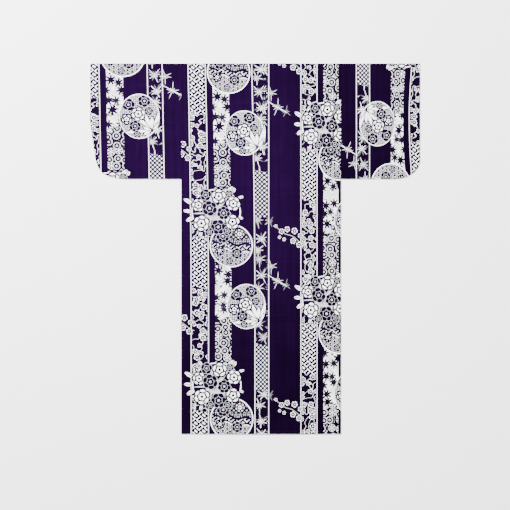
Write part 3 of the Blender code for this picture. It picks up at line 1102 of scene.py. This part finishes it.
def finish_piece(piece, material, *nodes):
    piece.data.materials.append(material)
    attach(piece, "root")
    if nodes:
        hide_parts(*nodes)


def cloth_piece(settings, name, node, net, layers, cloth_map, columns):
    """A node's finished piece of cloth, and the width and length of its box."""
    low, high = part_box(node)
    piece = layered_shell(name, net, layers, cloth_map, sheet_places(low, high, columns))
    finish_piece(piece, printed_cotton(settings), node)
    return piece, high.x - low.x, high.y - low.y


# Rows of pick stitches: distance from the raw edge, and room left at the hem's ends and the cuff's top
STITCH_INSET = 0.0015
HEM_ROW_ENDS = (0.012, 0.008)
CUFF_ROW_TOP = 0.010

# A pick stitch: half length, how deep its sides sink, and its rings as share, rise and half width
STITCH_HALF_LENGTH = 0.0011
STITCH_SINK = -0.0001
STITCH_RINGS = (
    (-1.0, STITCH_SINK, 0.0001),
    (-0.5, 0.0003, 0.0003),
    (0.5, 0.0003, 0.0003),
    (1.0, STITCH_SINK, 0.0001),
)


def add_stitch(threads, middle, along, across, height):
    """One short bead of thread, sunk a little in the cloth at both ends."""
    rings = []
    for share, rise, half_width in STITCH_RINGS:
        centre = middle + along * (share * STITCH_HALF_LENGTH)
        ring = []
        for side, lift in ((-1.0, STITCH_SINK), (0.0, rise), (1.0, STITCH_SINK)):
            spot = centre + across * (side * half_width)
            ring.append(threads.verts.new((spot.x, spot.y, height + lift)))
        rings.append(ring)
    faces = []
    for near, far in zip(rings, rings[1:]):
        for place in range(3):
            other = (place + 1) % 3
            faces.append(threads.faces.new((near[place], near[other], far[other], far[place])))
    faces.append(threads.faces.new(rings[0][::-1]))
    faces.append(threads.faces.new(rings[-1]))
    bmesh.ops.recalc_face_normals(threads, faces=faces)


# Operators, one for each piece or group of like pieces


def make_body_panel(settings, name, node, side, okumi_box, cloth_map):
    low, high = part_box(node)
    edge = (low.x if side < 0 else high.x) + side * SEAM_DRAW
    seam = (high.x if side < 0 else low.x) - side * SEAM_DRAW / 2
    front_seam = (okumi_box[0].x - LAYER_GAP) if side < 0 else (okumi_box[1].x + LAYER_GAP)
    neck = BACK_SEAM + side * (NECK_HALF_WIDTH + LAYER_GAP)
    front = [(edge, HEM), (front_seam, HEM), (front_seam, OKUMI_TIP), (neck, SHOULDER), (edge, SHOULDER)]
    front = half_planes(front)
    armhole = SHOULDER - ARMHOLE_DEPTH
    stops = (edge - side * RIM, front_seam)
    fine_x = (BACK_SEAM + ALLOWANCE, edge - side * ALLOWANCE)
    xs = lines(min(edge, seam), max(edge, seam), settings.step, stops, fine_x)
    fine_y = (HEM + ALLOWANCE, *sorted({row[0] for row in FOLD_LINES}))
    ys = lines(HEM, SHOULDER, settings.step, (armhole, OKUMI_TIP, SHOULDER - RIM), fine_y)
    upper = upper_heights(settings, node, xs, ys)
    lower = np.minimum(sampled(node, xs, ys, False, 0.0), upper - CLOTH - LAYER_GAP / 2)
    net = plan_net(xs, ys, lower, upper)
    cut(net, slanted(front), trim=False)

    def layers(middle):
        in_front = outside(front, middle.x, middle.y) < 0
        at_shoulder = middle.y > SHOULDER - RIM
        at_side_seam = abs(middle.x - edge) < RIM and middle.y < armhole
        return (in_front, in_front and (at_shoulder or at_side_seam), True)

    return cloth_piece(settings, name, node, net, layers, cloth_map, 4)


class YUKATA_OT_body_panels(bpy.types.Operator):
    """Builds the two body panels, each one cloth from the back hem over the shoulder to the front hem"""

    bl_idname = "yukata.body_panels"
    bl_label = "Body panels"

    def execute(self, context):
        settings = context.scene.yukata
        for name, node, side, okumi_box, cloth_map in (
            ("left_body_cloth", "body_left", -1, OKUMI_LEFT_BOX, on_left_back),
            ("right_body_cloth", "body_right", 1, OKUMI_RIGHT_BOX, on_right_back),
        ):
            piece, width, length = make_body_panel(settings, name, node, side, okumi_box, cloth_map)
            overlap = BACK_SEAM - okumi_box[0].x if side < 0 else okumi_box[1].x - BACK_SEAM
            area = width * length + (width - overlap) * length
            2 * length
        return {"FINISHED"}


class YUKATA_OT_okumi(bpy.types.Operator):
    """Builds the two tapered overlap panels"""

    bl_idname = "yukata.okumi"
    bl_label = "Overlap panels"

    def execute(self, context):
        settings = context.scene.yukata
        step = settings.step * OKUMI_COARSER

        def layers(middle):
            return (True, False, False)

        for name, node, cloth_map in (
            ("left_overlap_cloth", "okumi_left", hidden_map(0.210, -0.150)),
            ("right_overlap_cloth", "okumi_right", hidden_map(0.430, 0.220)),
        ):
            low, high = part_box(node)
            xs = lines(low.x, high.x, step)
            ys = lines(low.y, high.y, step)
            under = sampled(node, xs, ys, False, 0.0)
            net = plan_net(xs, ys, under, under)
            cut(net, slanted(hull_planes(node)), trim=True)
            piece, width, length = cloth_piece(settings, name, node, net, layers, cloth_map, 4)
            area = width * length * OKUMI_FILL
        return {"FINISHED"}


class YUKATA_OT_sleeves(bpy.types.Operator):
    """Builds the two sleeves, each a flat tube open at the armhole and the cuff"""

    bl_idname = "yukata.sleeves"
    bl_label = "Sleeves"

    def execute(self, context):
        settings = context.scene.yukata
        for name, node, side, cloth_map in (
            ("left_sleeve_cloth", "sleeve_left", -1, on_left_sleeve),
            ("right_sleeve_cloth", "sleeve_right", 1, on_right_sleeve),
        ):
            low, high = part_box(node)
            opening = SHOULDER - CUFF_OPENING
            cuff = low.x if side < 0 else high.x
            xs = lines(low.x, high.x, settings.step, (), (cuff - side * ALLOWANCE,))
            fine = (SLEEVE_FOOT + ALLOWANCE, SLEEVE_CREASE)
            ys = lines(low.y, high.y, settings.step, (low.y + RIM, opening, high.y - RIM), fine)
            upper = upper_heights(settings, node, xs, ys)
            net = plan_net(xs, ys, np.zeros_like(upper), upper)
            outline = hull_planes(node)
            sewn = [plane for plane in outline if plane[2] * side > SQUARE_TO and plane[1] < SHOULDER]
            cut(net, sewn, trim=True)
            cut(net, sewn, trim=False, inset=RIM)

            def layers(middle):
                at_ends = middle.y > SHOULDER - RIM or middle.y < SLEEVE_FOOT + RIM
                at_cuff_seam = middle.y < opening and outside(sewn, middle.x, middle.y) > -RIM
                return (True, at_ends or at_cuff_seam, True)

            piece, width, depth = cloth_piece(settings, name, node, net, layers, cloth_map, 2)
            2 * depth
        return {"FINISHED"}


class YUKATA_OT_collar(bpy.types.Operator):
    """Builds the doubled collar band, which lies folded under the neck and along both fronts"""

    bl_idname = "yukata.collar"
    bl_label = "Collar"

    def execute(self, context):
        settings = context.scene.yukata
        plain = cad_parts["collar"].data.copy()
        while plain.uv_layers:
            plain.uv_layers.remove(plain.uv_layers[0])
        band = bmesh.new()
        band.from_mesh(plain)
        bpy.data.meshes.remove(plain)
        bmesh.ops.remove_doubles(band, verts=band.verts[:], dist=1e-5)
        for turn in range(2):
            long_edges = [edge for edge in band.edges if edge.calc_length() > LONG_EDGE]
            bmesh.ops.subdivide_edges(band, edges=long_edges, cuts=1)
        cloth = band.loops.layers.uv.new("cloth")
        bake = band.loops.layers.uv.new("OFBake")
        cloth_map = hidden_map(0.120, -0.310)
        bake_map = sheet_places(*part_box("collar"), 4)
        for face in band.faces:
            island = 3 if face.normal.z > -0.5 else 0
            for loop in face.loops:
                spot = loop.vert.co
                loop[cloth].uv = cloth_map(spot.x, spot.y, False)
                loop[bake].uv = bake_map(spot.x, spot.y, island)
            face.smooth = True
        piece = new_piece("collar_band", band)
        finish_piece(piece, printed_cotton(settings), "collar")
        area = sum(polygon.area for polygon in piece.data.polygons) / 2
        flat = (2 * COLLAR_WIDTH, area / COLLAR_WIDTH)
        area = area * COLLAR_LAP
        return {"FINISHED"}


class YUKATA_OT_stitches(bpy.types.Operator):
    """Adds the small pick stitches that hold the hem and the cuffs"""

    bl_idname = "yukata.stitches"
    bl_label = "Pick stitches"

    def execute(self, context):
        settings = context.scene.yukata
        inner = ALLOWANCE - STITCH_INSET
        left = LEFT_CUFF + inner
        right = RIGHT_CUFF - inner
        top = SHOULDER - CUFF_ROW_TOP
        foot = SHOULDER - CUFF_OPENING
        hem = HEM + inner
        rows = (
            ("hem stitches", (LEFT_SIDE + HEM_ROW_ENDS[0], hem), (RIGHT_SIDE - HEM_ROW_ENDS[1], hem)),
            ("left cuff stitches", (left, top), (left, foot)),
            ("right cuff stitches", (right, top), (right, foot)),
        )
        cloths = [
            BVHTree.FromObject(bpy.data.objects[name], context.evaluated_depsgraph_get())
            for name in ("left_body_cloth", "right_body_cloth", "left_sleeve_cloth", "right_sleeve_cloth")
        ]
        for name, start, end in rows:
            start = Vector(start)
            span = Vector(end) - start
            along = span.normalized()
            across = Vector((-along.y, along.x))
            count = int(span.length / settings.stitch_spacing)
            threads = bmesh.new()
            for number in range(count + 1):
                middle = start + along * (number * settings.stitch_spacing)
                above = Vector((middle.x, middle.y, 1.0))
                hits = [cloth.ray_cast(above, Vector((0, 0, -1)))[0] for cloth in cloths]
                heights = [hit.z for hit in hits if hit]
                if heights:
                    add_stitch(threads, middle, along, across, max(heights))
            mesh = bpy.data.meshes.new(name)
            threads.to_mesh(mesh)
            threads.free()
            piece = bpy.data.objects.new(name.replace(" ", "_"), mesh)
            context.scene.collection.objects.link(piece)
            finish_piece(piece, thread_material(settings))
        return {"FINISHED"}


# Floor, lights and camera. The picture plane lies at the cloth's mean height.
FLOOR_SIZE = 14.0
FLOOR_DROP = 0.0005
FLOOR_COLOUR = (0.92, 0.92, 0.92, 1.0)
KEY_PLACE = (-3.6, 4.6, 4.4)
KEY_SIZE = 1.8
FILL_PLACE = (1.8, -1.0, 3.6)
FILL_SIZE = 3.0
LENS = 85.0
SENSOR_WIDTH = 36.0
PICTURE_PIXELS = 510
PICTURE_MIDDLE_Y = -0.027
PICTURE_PLANE = 0.003


class YUKATA_OT_stage(bpy.types.Operator):
    """Adds the floor, the soft studio lights and the camera straight above"""

    bl_idname = "yukata.stage"
    bl_label = "Floor, lights and camera"

    def execute(self, context):
        settings = context.scene.yukata
        scene = context.scene
        bpy.ops.mesh.primitive_plane_add(size=FLOOR_SIZE, location=(0, 0, -FLOOR_DROP))
        floor = context.active_object
        floor.name = "floor"
        paper, shader = new_material("pale floor", 0.9)
        shader.inputs["Base Color"].default_value = FLOOR_COLOUR
        floor.data.materials.append(paper)
        floor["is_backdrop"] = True

        for name, place, size, power in (
            ("key light", KEY_PLACE, KEY_SIZE, settings.key_power),
            ("fill light", FILL_PLACE, FILL_SIZE, settings.fill_power),
        ):
            light = bpy.data.lights.new(name, "AREA")
            light.shape = "DISK"
            light.size = size
            light.energy = power
            lamp = bpy.data.objects.new(name, light)
            lamp.location = place
            lamp.rotation_euler = (-Vector(place)).to_track_quat("-Z", "Y").to_euler()
            scene.collection.objects.link(lamp)

        world = bpy.data.worlds.new("studio")
        world.use_nodes = True
        sky = world.node_tree.nodes["Background"]
        sky.inputs["Color"].default_value = (1.0, 1.0, 1.0, 1.0)
        sky.inputs["Strength"].default_value = settings.sky
        scene.world = world

        camera = bpy.data.cameras.new("camera")
        camera.lens = LENS
        camera.sensor_width = SENSOR_WIDTH
        camera.clip_end = 50.0
        view = bpy.data.objects.new("camera", camera)
        distance = PICTURE_PIXELS * PIXEL * camera.lens / camera.sensor_width
        view.location = (0.0, PICTURE_MIDDLE_Y, PICTURE_PLANE + distance)
        scene.collection.objects.link(view)
        scene.camera = view
        return {"FINISHED"}


def amount(name, description, default, **limits):
    return bpy.props.FloatProperty(name=name, description=description, default=default, **limits)


def colour(name, description, default):
    return bpy.props.FloatVectorProperty(
        name=name, description=description, default=default, subtype="COLOR"
    )


class YukataSettings(bpy.types.PropertyGroup):
    """Sizes and colours of the cloth, and the studio's light"""

    step: amount("Mesh step", "Distance between the lines of the cloth's net", 0.008, unit="LENGTH")
    relief: amount("Crease height", "Factor on the fine creases and wrinkles", 1.0, min=0.0)
    stitch_spacing: amount("Stitch spacing", "Distance between pick stitches", 0.012, unit="LENGTH")
    ground: colour("Ground", "Dyed ground of the cloth", (0.0052, 0.0004, 0.0124))
    white: colour("White", "Undyed white of the print", (0.90, 0.89, 0.94))
    thread: colour("Thread", "Sewing thread", (0.030, 0.012, 0.080))
    roughness: amount("Roughness", "Roughness of the cotton", 0.85, min=0.0, max=1.0)
    sheen: amount("Sheen", "Soft sheen of the cotton's nap", 0.015, min=0.0, max=1.0)
    key_power: amount("Key light", "Power of the light at the upper left", 3000.0, unit="POWER")
    fill_power: amount("Fill light", "Power of the light at the lower right", 80.0, unit="POWER")
    sky: amount("Sky", "Strength of the white surroundings", 1.10, min=0.0)


class YUKATA_PT_panel(bpy.types.Panel):
    """Lists the steps that build the yukata"""

    bl_idname = "YUKATA_PT_panel"
    bl_label = "Yukata"
    bl_space_type = "VIEW_3D"
    bl_region_type = "UI"
    bl_category = "Yukata"

    def draw(self, context):
        settings = context.scene.yukata
        for name in settings.bl_rna.properties.keys():
            if name not in {"rna_type", "name"}:
                self.layout.prop(settings, name)
        for operator in OPERATORS:
            self.layout.operator(operator.bl_idname)


OPERATORS = (
    YUKATA_OT_body_panels,
    YUKATA_OT_okumi,
    YUKATA_OT_sleeves,
    YUKATA_OT_collar,
    YUKATA_OT_stitches,
    YUKATA_OT_stage,
)


def register():
    for kind in (YukataSettings, *OPERATORS, YUKATA_PT_panel):
        bpy.utils.register_class(kind)
    bpy.types.Scene.yukata = bpy.props.PointerProperty(type=YukataSettings)


def unregister():
    del bpy.types.Scene.yukata
    for kind in reversed((YukataSettings, *OPERATORS, YUKATA_PT_panel)):
        bpy.utils.unregister_class(kind)


def main():
    register()
    bpy.ops.yukata.body_panels()
    bpy.ops.yukata.okumi()
    bpy.ops.yukata.sleeves()
    bpy.ops.yukata.collar()
    bpy.ops.yukata.stitches()
    bpy.ops.yukata.stage()
    looks_box = [list(corner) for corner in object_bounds()]


if __name__ == "__main__":
    main()
